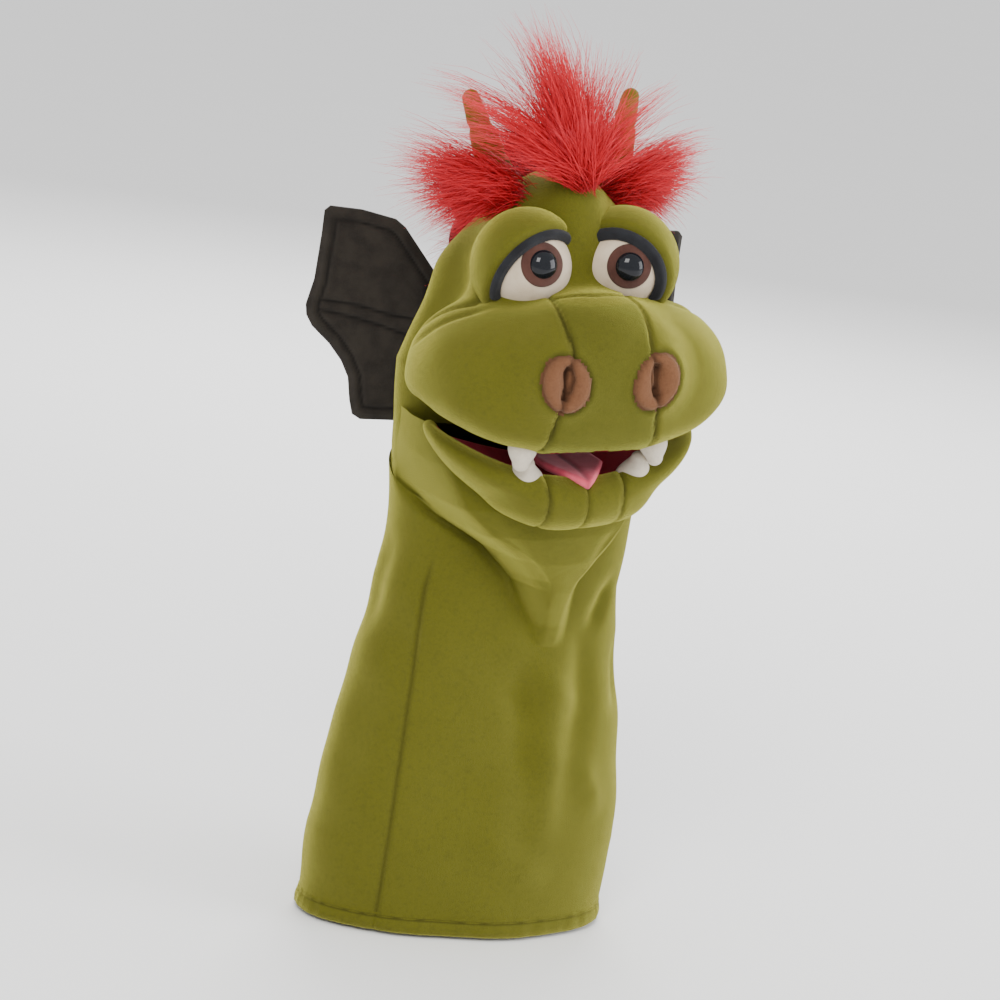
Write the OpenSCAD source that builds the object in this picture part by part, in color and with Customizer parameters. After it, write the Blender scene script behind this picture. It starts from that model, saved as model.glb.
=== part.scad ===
// Moving mouth hand puppet: a plush dragon with a sleeve, a soft head, a jaw, a tongue and two felt wings.
// Origin: centre of the sleeve's opening, on the plane of the hem. +Z runs up the sleeve, the face looks to -Y.

/* [Sleeve] */
// Half the width of the sleeve at the hem
sleeve_a = 91; // [84:1:98]
// Half the depth of the sleeve at the hem
sleeve_b = 46; // [40:1:50]
// Half the width of the sleeve where the neck starts
neck_a = 76; // [72:1:80]
// Half the depth of the sleeve where the neck starts
neck_b = 43; // [40:1:46]
// Height of the sleeve up to the neck
sleeve_h = 190; // [170:1:200]
// Thickness of the plush and its backing
cloth_t = 3; // [2:0.5:4]
// Height of the turned-up hem
hem_h = 12; // [8:1:20]
// Distance of the side seams from the middle plane
seam_x = 58; // [45:1:64]

/* [Head] */
// Sideways lean of the head at rest, in degrees
head_lean = 5; // [0:0.5:8]
// Half the width of the muzzle
muzzle_a = 88; // [80:1:92]
// Half the depth of the muzzle
muzzle_b = 66; // [60:1:70]
// Half the height of the muzzle's full round
muzzle_c = 62; // [56:1:66]
// Half the width of the skull
skull_a = 50; // [46:1:54]
// Thickness of the plush on the head
plush_t = 2.5; // [2:0.5:3]

/* [Mouth] */
// How far the mouth hangs open at rest, in degrees
rest_gape = 7.5; // [6:0.5:10]
// Width of the lip roll around the mouth boards
lip_w = 7; // [6:0.5:9]
// Thickness of each mouth board
board_t = 2.6; // [2:0.2:3]

/* [Eyes] */
// Radius of the felt eye domes
eye_r = 24; // [22:0.5:25]
// Radius of the iris discs
iris_r = 12.3; // [10:0.1:13]
// Radius of the pupils
pupil_r = 7.6; // [6:0.1:9]

/* [Wings] */
// Thickness of the wadding inside a wing
wadding_t = 4; // [3:0.5:6]
// Thickness of the felt on each side of a wing
felt_t = 1.6; // [1:0.2:2]

/* [Hidden] */
$fn = 48;
big = 900;
gap = 0.4;                        // clearance between neighbouring soft pieces
nod_y = 5;                        // nodding axis, where the wrist bends
nod_z = 290;
hinge_y = -25;                    // mouth hinge axis
hinge_z = 303;
lip_z = 304;                      // lower edge of the upper lip
muzzle_c0 = [0, -68, 332];        // centre of the muzzle's round
jaw_c0 = [0, -62, 303];           // centre of the jaw's round, with the mouth shut
jaw_r = [84, 56, 38];
muzzle_r = [muzzle_a, muzzle_b, muzzle_c];
skull_c0 = [0, -40, 390];
skull_r = [skull_a, 50, 62];
panel_x = 24;                     // half width of the centre panels
chin_seam = 0.1;                  // half width of the seam between the two chin panels
board_z = 310;                    // underside of the upper mouth board
floor_z = 297;                    // top of the lower mouth board, with the mouth shut
lining_t = 2;
eye_c = [28, -71, 406];           // centre of an eye dome
eye_aim = [12, 0, 8];             // lifts and turns the gaze
lid_r = 31;                       // outside of the padded lids
lid_turn = 32;                    // the lids' rims turn outwards and tip back, in degrees
lid_tip = 24;
lid_set = 5;                      // how far the rims stand in front of the domes' centres
lid_in = 5;                       // the lids end this far from the middle plane
shank_r = 2.2;                    // the pupil button's shank
yoke_top = 346;                   // top of the cloth behind the head
wing_root = [44, 40, 288];        // lower end of the seam that a wing hangs on
crest_flop = 30;                  // the crest lobes flop to the right, in degrees
wing_sweep = 18;                  // the wings lean back, in degrees

plush = [0.47, 0.46, 0.13];
plush_dark = [0.42, 0.42, 0.10];
fur_red = [0.78, 0.15, 0.18];
lining_red = [0.45, 0.07, 0.12];
felt_black = [0.10, 0.09, 0.08];
foam_grey = [0.80, 0.80, 0.76];

// ---- shared shapes -----------------------------------------------------------------------------

// An elliptical tube's solid, from z0 to z1, following the sleeve's taper, drawn in by `inset`.
module sleeve_round(z0, z1, inset) {
    k0 = z0 / sleeve_h;
    k1 = z1 / sleeve_h;
    a0 = sleeve_a + (neck_a - sleeve_a) * k0 - inset;
    a1 = sleeve_a + (neck_a - sleeve_a) * k1 - inset;
    b0 = sleeve_b + (neck_b - sleeve_b) * k0 - inset;
    translate([0, 0, z0]) scale([1, b0 / a0, 1]) cylinder(h = z1 - z0, r1 = a0, r2 = a1);
}

module sleeve_wall(z0, z1, inset) {
    difference() {
        sleeve_round(z0, z1, inset);
        sleeve_round(z0 - 1, z1 + 1, inset + cloth_t);
    }
}

module ellipsoid(centre, radii) {
    translate(centre) scale(radii) sphere(1);
}

// A box from its lowest to its highest corner.
module block(lo, hi) {
    translate(lo) cube(hi - lo);
}

// Leans the head's pieces sideways about the nodding axis.
module lean() {
    translate([0, nod_y, nod_z]) rotate([0, -head_lean, 0]) translate([0, -nod_y, -nod_z]) children();
}

// Drops the jaw's pieces from shut to the resting gape.
module gape() {
    lean() translate([0, hinge_y, hinge_z]) rotate([rest_gape, 0, 0])
        translate([0, -hinge_y, -hinge_z]) children();
}

module mirrored(side) {
    if (side > 0) children();
    else mirror([1, 0, 0]) children();
}

function inset_by(r, t) = [r[0] - t, r[1] - t, r[2] - t];

// ---- sleeve ------------------------------------------------------------------------------------

module hem_band() {
    color(plush_dark) intersection() {
        difference() {
            sleeve_round(-1, hem_h + 1, -1);
            sleeve_round(-2, hem_h + 2, cloth_t + 1);
        }
        block([-big, -big, 0], [big, big, hem_h]);
    }
}

module sleeve_panel(lo, hi) {
    color(plush) intersection() {
        sleeve_wall(hem_h, sleeve_h - 1, 0);
        block(lo, hi);
    }
}

module sleeve_front_panel() sleeve_panel([-seam_x, -big, 0], [seam_x, 0, big]);
module sleeve_back_panel() sleeve_panel([-seam_x, 0, 0], [seam_x, big, big]);
module sleeve_right_panel() sleeve_panel([-big, -big, 0], [-seam_x, big, big]);
module sleeve_left_panel() sleeve_panel([seam_x, -big, 0], [big, big, big]);

// ---- neck --------------------------------------------------------------------------------------

// The neck's cloth: straight up from the sleeve, low at the front, high behind the head.
module neck_wall() {
    difference() {
        translate([0, 0, sleeve_h]) scale([1, neck_b / neck_a, 1])
            cylinder(h = yoke_top - sleeve_h, r1 = neck_a, r2 = neck_a - 10);
        translate([0, 0, sleeve_h - 1]) scale([1, (neck_b - cloth_t) / (neck_a - cloth_t), 1])
            cylinder(h = yoke_top - sleeve_h + 2, r1 = neck_a - cloth_t, r2 = neck_a - 10 - cloth_t);
        // room for the jaw to open into
        translate([0, -neck_b, sleeve_h + 8]) rotate([62, 0, 0]) block([-big, -big, 0], [big, big, big]);
        // the shoulders slope up to the back of the head
        for (side = [-1, 1])
            translate([side * 66, 0, 292]) rotate([0, side * 52, 0])
                block([-big, -big, 0], [big, big, big]);
    }
}

module neck_part(lo, hi) {
    color(plush) intersection() {
        neck_wall();
        block(lo, hi);
    }
}

module throat_gusset() neck_part([-seam_x + 8, -big, 0], [seam_x - 8, 0, big]);
module back_yoke() neck_part([-seam_x + 8, 0, 0], [seam_x - 8, big, big]);
module neck_right_panel() neck_part([-big, -big, 0], [-seam_x + 8, big, big]);
module neck_left_panel() neck_part([seam_x - 8, -big, 0], [big, big, big]);

// ---- muzzle and skull --------------------------------------------------------------------------

module muzzle_round(inset) {
    ellipsoid(muzzle_c0, inset_by(muzzle_r, inset));
}

module skull_round(inset) {
    ellipsoid(skull_c0, inset_by(skull_r, inset));
}

pocket_lo = [-44, -106, board_z + board_t];
pocket_hi = [44, -2, board_z + board_t + 26];

module muzzle_shell(x0, x1) {
    color(plush) lean() difference() {
        intersection() {
            muzzle_round(0);
            block([x0, -big, lip_z], [x1, -22, big]);
        }
        muzzle_round(plush_t);
        eye_seats();
        nostril_seats();
    }
}

// Where the eyes and their lids sink into the plush.
module eye_seats() {
    for (side = [-1, 1]) mirrored(side) {
        translate(eye_c) sphere(eye_r + gap);
        difference() {
            lid_round(gap);
            block([-big, -big, 0], [lid_in - gap, big, big]);
        }
    }
}

module nostril_seats() {
    for (side = [-1, 1]) mirrored(side) nostril_round(gap);
}

module muzzle_center_panel() muzzle_shell(-panel_x, panel_x);
module muzzle_right_cheek() muzzle_shell(-big, -panel_x);
module muzzle_left_cheek() muzzle_shell(panel_x, big);

module muzzle_foam() {
    color(foam_grey) lean() difference() {
        intersection() {
            muzzle_round(plush_t);
            block([-big, -big, lip_z], [big, -22, big]);
        }
        intersection() {
            muzzle_round(lip_w);
            block([-big, -big, 0], [big, big, board_z + board_t]);
        }
        block(pocket_lo, pocket_hi);
        eye_seats();
        nostril_seats();
        // the fingers' way in, and the hinge strip's seat
        block([-16, -34, 0], [16, 0, big]);
        block([-big, hinge_y - 2, 0], [big, 0, hinge_z + 5]);
    }
}

module skull_shell(y0, y1) {
    color(plush) lean() difference() {
        intersection() {
            skull_round(0);
            block([-big, y0, pocket_hi[2] + 2], [big, y1, big]);
        }
        skull_round(plush_t);
        muzzle_round(0);
        eye_seats();
    }
}

module forehead_panel() skull_shell(-big, skull_c0[1]);
module head_back_panel() skull_shell(skull_c0[1], big);

crown_z = 392;

module crown_stuffing() {
    color(foam_grey) lean() difference() {
        intersection() {
            skull_round(plush_t);
            block([-big, eye_c[1] + eye_r + 1, crown_z], [big, big, big]);
        }
        for (side = [-1, 1]) mirrored(side) lid_round(gap);
    }
}

// ---- mouth, upper half -------------------------------------------------------------------------

module upper_slab(z0, z1) {
    lean() intersection() {
        muzzle_round(lip_w);
        block([-big, -big, z0], [big, hinge_y - 2, z1]);
    }
}

module upper_mouth_board() color("dimgray") upper_slab(board_z, board_z + board_t);
module palate_lining() color(lining_red) upper_slab(board_z - lining_t, board_z);

module finger_pocket() {
    wall = [1.6, 1.6, 1.2];
    color("black") lean() difference() {
        block(pocket_lo + [gap, gap, 0], pocket_hi - [gap, 0, gap]);
        block(pocket_lo + [gap, gap, 0] + wall, [pocket_hi[0] - gap - wall[0], 10, pocket_hi[2] - gap - wall[2]]);
    }
}

module mouth_hinge_strip() {
    color(lining_red) lean() translate([0, hinge_y + 0.5, hinge_z + 2]) rotate([0, 90, 0])
        cylinder(h = 88, r = 1.6, center = true);
}

// Two soft teeth hang from the upper lip.
module upper_teeth() {
    color("ivory") lean() for (side = [-1, 1])
        translate([side * 45, -101, board_z - lining_t - 9]) {
            cylinder(h = 9, r1 = 2, r2 = 5);
        }
}

// ---- eyes --------------------------------------------------------------------------------------

// Turns a piece to look along an eye's gaze, with the gaze as -Y and the dome's centre at the origin.
module on_eye() {
    translate(eye_c) rotate([-eye_aim[0], 0, -eye_aim[2]]) children();
}

module eye_white(side) {
    color("ivory") lean() mirrored(side) on_eye() rotate([90, 0, 0]) rotate_extrude() intersection() {
        difference() {
            circle(eye_r);
            circle(eye_r - 3);
        }
        translate([shank_r + gap, -4]) square(eye_r + 4);
    }
}

module iris(side) {
    color("saddlebrown") lean() mirrored(side) on_eye() difference() {
        intersection() {
            sphere(eye_r + 2.4);
            rotate([90, 0, 0]) cylinder(h = eye_r + 4, r = iris_r);
        }
        sphere(eye_r + gap);
        rotate([90, 0, 0]) cylinder(h = big, r = shank_r + gap);
    }
}

// A glossy button with a shank that runs back through the dome.
module pupil(side) {
    color("black") lean() mirrored(side) on_eye() {
        translate([0, -eye_r - 2.4, 0]) rotate([90, 0, 0]) cylinder(h = 3, r1 = pupil_r, r2 = pupil_r - 2.4);
        translate([0, -eye_r + 8, 0]) rotate([90, 0, 0]) cylinder(h = 11, r = shank_r);
    }
}

module eye_washer(side) {
    color("white") lean() mirrored(side) on_eye() difference() {
        translate([0, -eye_r + 8, 0]) rotate([90, 0, 0]) cylinder(h = 2, r = 7);
        translate([0, -eye_r + 9, 0]) rotate([90, 0, 0]) cylinder(h = 6, r = shank_r + gap);
    }
}

module lid_round(grow) {
    translate(eye_c) sphere(lid_r + grow);
}

// The open side of a lid: everything in front of a plane that is tipped back and turned outwards.
module lid_opening(raise) {
    translate(eye_c) rotate([0, 0, -lid_turn]) rotate([lid_tip, 0, 0])
        translate([0, raise - lid_set, 0]) block([-big, -big, -big], [big, 0, big]);
}

module eyelid(side) {
    color(plush) lean() mirrored(side) difference() {
        lid_round(0);
        translate(eye_c) sphere(eye_r + 2.8);
        lid_opening(1);
        block([-big, -big, 0], [lid_in, big, big]);
        block([-big, eye_c[1] + 16, 0], [big, big, big]);
    }
}

// Felt edging on the rim of the lid, open where the lid is.
module lash_strip(side) {
    color(felt_black) lean() mirrored(side) difference() {
        translate(eye_c) sphere(eye_r + 5.4);
        translate(eye_c) sphere(eye_r + 2.8);
        lid_opening(-2.2);
        translate(eye_c) rotate([0, 0, -lid_turn]) rotate([lid_tip, 0, 0])
            translate([0, 0.6 - lid_set, 0]) block([-big, 0, -big], [big, big, big]);
        block([-big, -big, 0], [lid_in, big, big]);
        block([-big, -big, 0], [big, big, eye_c[2] - 15]);
    }
}

module eye_white_right() eye_white(-1);
module eye_white_left() eye_white(1);
module iris_right() iris(-1);
module iris_left() iris(1);
module pupil_right() pupil(-1);
module pupil_left() pupil(1);
module eye_washer_right() eye_washer(-1);
module eye_washer_left() eye_washer(1);
module eyelid_right() eyelid(-1);
module eyelid_left() eyelid(1);
module lash_strip_right() lash_strip(-1);
module lash_strip_left() lash_strip(1);

// ---- nostrils, horns, fur ----------------------------------------------------------------------

module nostril_round(grow) {
    ellipsoid([25, -125, 355], [13, 6, 16] + [1, 1, 1] * grow);
}

module nostril(side) {
    color("peru") lean() mirrored(side) difference() {
        nostril_round(0);
        ellipsoid([25, -132, 355], [3.5, 6, 9]);
    }
}

module horn_round(grow) {
    translate([30, -38, 432]) rotate([-20, 17, 0]) scale([1, 0.6, 1])
        cylinder(h = 58, r1 = 12 + grow, r2 = 3.5 + grow);
}

module horn(side) {
    color("olive") lean() mirrored(side) difference() {
        horn_round(0);
        skull_round(-gap);
    }
}

module forelock() {
    color(fur_red) lean() difference() {
        ellipsoid([0, -60, 484], [44, 17, 48]);
        skull_round(0);
        for (side = [-1, 1]) mirrored(side) {
            horn_round(gap);
            lid_round(gap);
        }
    }
}

// A tuft of fur at the temple, behind the eyelid and around the foot of the horn.
module fur_tuft(side) {
    color(fur_red) lean() mirrored(side) difference() {
        ellipsoid([58, -34, 450], [26, 18, 20]);
        skull_round(0);
        horn_round(gap);
        ellipsoid([0, -60, 484], [44, 17, 48] + [1, 1, 1] * gap);
        lid_round(gap);
    }
}

// Rounded felt lobes stand up along the nape and flop to one side, in a strip of fur.
module crest_lobes(grow) {
    lobes = [[38, 392, 22], [30, 424, 19], [8, 446, 15]];
    rotate([0, 0, crest_flop]) rotate([90, 0, 90]) linear_extrude(3 + 2 * grow, center = true)
        for (l = lobes) translate([l[0], l[1]]) circle(l[2] + grow);
}

module nape_crest() {
    color(felt_black) lean() difference() {
        crest_lobes(0);
        skull_round(0);
    }
}

module nape_mane() {
    color(fur_red) lean() difference() {
        ellipsoid([-8, 16, 406], [17, 34, 38]);
        skull_round(0);
        crest_lobes(gap);
    }
}

module nostril_right() nostril(-1);
module nostril_left() nostril(1);
module horn_right() horn(-1);
module horn_left() horn(1);
module fur_tuft_right() fur_tuft(-1);
module fur_tuft_left() fur_tuft(1);

// ---- jaw, drawn shut and then dropped to the resting gape --------------------------------------

module jaw_round(inset) {
    ellipsoid(jaw_c0, inset_by(jaw_r, inset));
}

// Behind this plane the jaw is open, so that the thumb comes in and the jaw can swing back.
module jaw_back() {
    translate([0, hinge_y - 2, hinge_z]) rotate([-38, 0, 0]) block([-big, 0, -big], [big, big, big]);
}

thumb_lo = [-20, -84, 273];
thumb_hi = [20, -26, floor_z - board_t];

module jaw_shell(x0, x1) {
    color(plush) gape() difference() {
        intersection() {
            jaw_round(0);
            block([x0, -big, 0], [x1, big, hinge_z - 1]);
        }
        jaw_round(plush_t);
        jaw_back();
    }
}

module chin_panel_right() jaw_shell(-panel_x, -chin_seam);
module chin_panel_left() jaw_shell(chin_seam, panel_x);
module jaw_side_right() jaw_shell(-big, -panel_x);
module jaw_side_left() jaw_shell(panel_x, big);

module jaw_foam() {
    color(foam_grey) gape() difference() {
        intersection() {
            jaw_round(plush_t);
            block([-big, -big, 0], [big, big, hinge_z - 1]);
        }
        intersection() {
            jaw_round(lip_w);
            block([-big, -big, floor_z - board_t], [big, big, big]);
        }
        block(thumb_lo, thumb_hi);
        jaw_back();
    }
}

module lower_slab(z0, z1) {
    gape() difference() {
        intersection() {
            jaw_round(lip_w);
            block([-big, -big, z0], [big, hinge_y - 3, z1]);
        }
        jaw_back();
    }
}

module lower_mouth_board() color("dimgray") lower_slab(floor_z - board_t, floor_z);
module mouth_floor_lining() color(lining_red) lower_slab(floor_z, floor_z + lining_t);

module thumb_pocket() {
    wall = [1.6, 1.6, 1.2];
    color("black") gape() difference() {
        block(thumb_lo + [gap, gap, gap], thumb_hi - [gap, 0, 0]);
        block(thumb_lo + [gap, gap, gap] + wall, [thumb_hi[0] - gap - wall[0], 10, thumb_hi[2] - wall[2]]);
        jaw_back();
    }
}

// Two soft teeth stand up from the lower lip.
module lower_teeth() {
    color("ivory") gape() for (side = [-1, 1])
        translate([side * 31, -98, floor_z + lining_t]) cylinder(h = 11, r1 = 6, r2 = 2.5);
}

// A flat felt tongue with a pointed tip, sewn down at its root.
module tongue() {
    color("palevioletred") gape() translate([0, 0, floor_z + lining_t + gap])
        linear_extrude(4) hull() {
            translate([0, -52]) circle(14);
            translate([0, -78]) circle(17);
            translate([0, -104]) circle(3);
        }
}

// ---- wings -------------------------------------------------------------------------------------

// Outline of a wing seen from the front, with its root at the origin and +X outwards.
module wing_outline(inset) {
    offset(r = -inset) offset(r = 4) offset(delta = -4)
        polygon([[8, -4], [0, 40], [0, 79], [24, 108], [50, 115], [72, 114], [71, 92], [76, 54],
            [62, 38], [50, 25], [45, 6], [41, -6]]);
}

module wing_layer(side, depth, t, inset) {
    color(felt_black) mirrored(side) translate(wing_root)
        rotate([0, 0, wing_sweep]) translate([0, depth, 0]) rotate([90, 0, 0])
            linear_extrude(t) wing_outline(inset);
}

module wing_front_felt(side) wing_layer(side, 0, felt_t, 0);
module wing_wadding(side) wing_layer(side, wadding_t, wadding_t, 4);
module wing_back_felt(side) wing_layer(side, wadding_t + felt_t, felt_t, 0);

module wing_front_felt_right() wing_front_felt(-1);
module wing_wadding_right() wing_wadding(-1);
module wing_back_felt_right() wing_back_felt(-1);
module wing_front_felt_left() wing_front_felt(1);
module wing_wadding_left() wing_wadding(1);
module wing_back_felt_left() wing_back_felt(1);

hem_band();
sleeve_front_panel();
sleeve_right_panel();
sleeve_left_panel();
sleeve_back_panel();
throat_gusset();
neck_right_panel();
neck_left_panel();
back_yoke();
muzzle_center_panel();
muzzle_right_cheek();
muzzle_left_cheek();
muzzle_foam();
forehead_panel();
head_back_panel();
crown_stuffing();
upper_mouth_board();
palate_lining();
finger_pocket();
mouth_hinge_strip();
eye_white_right();
eye_white_left();
iris_right();
iris_left();
pupil_right();
pupil_left();
eye_washer_right();
eye_washer_left();
eyelid_right();
eyelid_left();
lash_strip_right();
lash_strip_left();
nostril_right();
nostril_left();
horn_right();
horn_left();
forelock();
fur_tuft_right();
fur_tuft_left();
nape_crest();
nape_mane();
upper_teeth();
lower_mouth_board();
mouth_floor_lining();
thumb_pocket();
chin_panel_right();
chin_panel_left();
jaw_side_right();
jaw_side_left();
jaw_foam();
lower_teeth();
tongue();
wing_front_felt_right();
wing_wadding_right();
wing_back_felt_right();
wing_front_felt_left();
wing_wadding_left();
wing_back_felt_left();
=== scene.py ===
"""Looks of the moving mouth puppet: plush by implicit surfaces, cloth by a folded loft, fur by strands."""
import math

import bpy
import numpy as np
from mathutils import Matrix, Vector


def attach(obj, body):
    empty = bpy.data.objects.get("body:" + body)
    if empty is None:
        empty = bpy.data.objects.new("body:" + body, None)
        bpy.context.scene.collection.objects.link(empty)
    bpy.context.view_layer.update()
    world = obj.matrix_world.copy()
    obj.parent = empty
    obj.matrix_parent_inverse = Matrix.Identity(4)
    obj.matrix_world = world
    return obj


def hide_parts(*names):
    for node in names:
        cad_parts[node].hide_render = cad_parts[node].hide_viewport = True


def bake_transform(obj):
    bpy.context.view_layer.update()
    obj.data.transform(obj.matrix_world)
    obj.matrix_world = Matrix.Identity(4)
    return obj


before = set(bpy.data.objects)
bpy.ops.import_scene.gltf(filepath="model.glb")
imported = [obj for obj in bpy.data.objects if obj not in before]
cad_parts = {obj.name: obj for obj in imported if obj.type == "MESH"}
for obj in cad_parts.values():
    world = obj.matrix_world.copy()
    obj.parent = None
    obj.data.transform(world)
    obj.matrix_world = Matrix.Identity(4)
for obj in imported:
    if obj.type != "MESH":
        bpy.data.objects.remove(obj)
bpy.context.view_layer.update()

MM = 0.001
LEAN = math.radians(5)          # the head leans sideways at rest, about the wrist
GAPE = math.radians(7.5)        # the jaw hangs open at rest
WRIST = np.array([0.0, 5.0, 290.0])
HINGE = np.array([0.0, -25.0, 303.0])
SIDES = ((-1, "right"), (1, "left"))
rng = np.random.default_rng(7)
norm = np.linalg.norm


# ---- placing ----

def lean(p, share=1.0):
    """Leans points in mm about the wrist; share is 0 to 1, one number or one for each point."""
    a = LEAN * np.asarray(share, dtype=float)
    q = np.asarray(p, dtype=float) - WRIST
    x = q[..., 0] * np.cos(a) - q[..., 2] * np.sin(a)
    z = q[..., 0] * np.sin(a) + q[..., 2] * np.cos(a)
    return np.stack([x, q[..., 1], z], axis=-1) + WRIST


def gape(p):
    """Drops jaw points, drawn shut, to the resting gape, and leans them with the head."""
    a = GAPE
    q = np.asarray(p, dtype=float) - HINGE
    y = q[..., 1] * math.cos(a) - q[..., 2] * math.sin(a)
    z = q[..., 1] * math.sin(a) + q[..., 2] * math.cos(a)
    return lean(np.stack([q[..., 0], y, z], axis=-1) + HINGE)


def mesh_piece(name, points, faces, material, smooth=True):
    """A mesh object from points in mm."""
    mesh = bpy.data.meshes.new(name)
    mesh.from_pydata((np.asarray(points) * MM).tolist(), [], [list(map(int, f)) for f in faces])
    mesh.update()
    mesh.polygons.foreach_set("use_smooth", [smooth] * len(mesh.polygons))
    piece = bpy.data.objects.new(name, mesh)
    bpy.context.scene.collection.objects.link(piece)
    mesh.materials.append(material)
    return piece


def grid_faces(rows, count, closed=True):
    """Quads of a grid of rows of count points each; closed joins each row's ends."""
    i, j = np.meshgrid(np.arange(rows - 1), np.arange(count if closed else count - 1), indexing="ij")
    a, b = i * count + j, i * count + (j + 1) % count
    return np.stack([a, b, b + count, a + count], axis=-1).reshape(-1, 4)


def set_painted_shading(piece, values):
    """A point attribute that the materials read as painted shading: 0 leaves the colour, 1 paints in the
    shade of a seam, crease or recess; the fur reads it as the place along each strand, for painted shade at
    the root and painted highlight at the tip.
    """
    layer = piece.data.attributes.new("painted_shading", "FLOAT", "POINT")
    layer.data.foreach_set("value", np.asarray(values, dtype=np.float32))


def place(piece, body, slot, *nodes):
    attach(piece, body)
    if nodes:
        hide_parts(*nodes)
    return piece


def smoothstep(lo, hi, v):
    t = np.clip((np.asarray(v, dtype=float) - lo) / (hi - lo), 0, 1)
    return t * t * (3 - 2 * t)


def bell(v, width):
    """1 where v is 0, falling away over width."""
    return np.exp(-(v / width) ** 2)


# ---- materials ----

class Nodes:
    """Short calls for building a material's node tree."""

    def __init__(self, name):
        self.material = bpy.data.materials.new(name)
        self.material.use_nodes = True
        self.tree = self.material.node_tree
        self.shader = self.tree.nodes["Principled BSDF"]
        self.place = self.tree.nodes.new("ShaderNodeTexCoord").outputs["Object"]

    def add(self, kind, **inputs):
        node = self.tree.nodes.new(kind)
        for key, value in inputs.items():
            socket = node.inputs[key.replace("_", " ")]
            if hasattr(value, "links"):
                self.tree.links.new(value, socket)
            else:
                socket.default_value = value
        return node

    def link(self, out, into):
        self.tree.links.new(out, into)

    def noise(self, scale, detail=3.0, rough=0.5, stretch=None):
        where = self.place
        if stretch:
            mapping = self.tree.nodes.new("ShaderNodeMapping")
            self.link(where, mapping.inputs["Vector"])
            mapping.inputs["Scale"].default_value = stretch
            where = mapping.outputs["Vector"]
        node = self.add("ShaderNodeTexNoise", Scale=scale, Detail=detail, Roughness=rough)
        self.link(where, node.inputs["Vector"])
        return node.outputs["Fac"]

    def mix(self, factor, a, b, mode="MIX"):
        node = self.tree.nodes.new("ShaderNodeMix")
        node.data_type = "RGBA"
        node.blend_type = mode
        for value, socket in ((factor, node.inputs[0]), (a, node.inputs[6]), (b, node.inputs[7])):
            if hasattr(value, "links"):
                self.link(value, socket)
            else:
                socket.default_value = value if isinstance(value, float) else (*value, 1.0)
        return node.outputs[2]

    def ramp(self, value, lo, hi):
        """A factor that goes from 0 at lo to 1 at hi."""
        node = self.tree.nodes.new("ShaderNodeMapRange")
        node.interpolation_type = "SMOOTHSTEP"
        self.link(value, node.inputs["Value"])
        node.inputs["From Min"].default_value = lo
        node.inputs["From Max"].default_value = hi
        return node.outputs["Result"]

    def attribute(self, name):
        node = self.tree.nodes.new("ShaderNodeAttribute")
        node.attribute_name = name
        return node.outputs["Fac"]

    def bump(self, height, strength, distance):
        node = self.add("ShaderNodeBump", Strength=strength, Distance=distance)
        self.link(height, node.inputs["Height"])
        self.link(node.outputs["Normal"], self.shader.inputs["Normal"])

    def set(self, **values):
        for key, value in values.items():
            self.shader.inputs[key.replace("_", " ")].default_value = value


def plush(name, base, lit, shaded, pile=1500.0, sheen=0.55, sheen_tint=(0.9, 0.9, 0.35)):
    """Short pile from a base colour with a lit and a shaded copy: mottled at random towards the lit copy
    where the nap lies differently, flecked with painted highlight where the pile tips catch light, specked at
    random towards the shaded copy, and painted shade in its seams and creases.
    """
    m = Nodes(name)
    nap = m.ramp(m.noise(26.0, 3.0, 0.5), 0.30, 0.75)
    middle = tuple(0.55 * b + 0.45 * l for b, l in zip(base, lit))
    colour = m.mix(nap, tuple(0.3 * b + 0.7 * c for b, c in zip(base, middle)), middle)
    # painted highlight: fine flecks of the lit copy, as where the pile tips catch light
    fleck = m.ramp(m.noise(pile * 0.6, 2.0, 0.7), 0.35, 0.65)
    colour = m.mix(fleck, colour, m.mix(0.35, colour, lit, "MIX"))
    speck = m.ramp(m.noise(pile * 0.25, 3.0, 0.7), 0.45, 0.75)
    colour = m.mix(speck, colour, m.mix(0.18, colour, shaded, "MIX"))
    # painted shade: the point attribute draws the colour to the shaded copy in seams, creases and recesses
    colour = m.mix(m.attribute("painted_shading"), colour, shaded)
    m.link(colour, m.shader.inputs["Base Color"])
    m.set(Roughness=0.85, Sheen_Weight=sheen, Sheen_Roughness=0.35, Sheen_Tint=(*sheen_tint, 1.0),
          Specular_IOR_Level=0.15)
    m.bump(m.noise(pile, 3.0, 0.7), 0.55, 0.0012)
    return m.material


def felt(name, base, lit, scale=2200.0, sheen=0.2, rough=0.95):
    """Pressed felt: short crossing fibres and a faint mottle."""
    m = Nodes(name)
    fibre = m.noise(scale, 4.0, 0.75, (1.0, 1.0, 0.35))
    cloud = m.ramp(m.noise(90.0, 3.0), 0.3, 0.7)
    colour = m.mix(cloud, base, lit)
    colour = m.mix(m.ramp(fibre, 0.4, 0.7), colour, m.mix(0.5, colour, lit))
    # painted shade: the point attribute draws the colour to a third of the base in grooves and along rims
    m.link(m.mix(m.attribute("painted_shading"), colour, tuple(0.35 * c for c in base)), m.shader.inputs["Base Color"])
    m.set(Roughness=rough, Sheen_Weight=sheen, Sheen_Roughness=0.5, Specular_IOR_Level=0.2)
    m.bump(fibre, 0.35, 0.0006)
    return m.material


# ---- implicit shapes, in mm ----

def ellipsoid(p, centre, radii):
    """Distance from an ellipsoid, close to true near its surface."""
    q = (p - np.array(centre, dtype=float)) / np.array(radii, dtype=float)
    k0 = norm(q, axis=-1)
    k1 = norm(q / np.array(radii, dtype=float), axis=-1)
    return k0 * (k0 - 1) / np.maximum(k1, 1e-9)


def cushion(p, centre, radii, power):
    """A fuller ellipsoid: a higher power squares its sides."""
    q = np.abs((p - np.array(centre, dtype=float)) / np.array(radii, dtype=float))
    return ((q ** power).sum(axis=-1) ** (1 / power) - 1) * min(radii)


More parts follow.
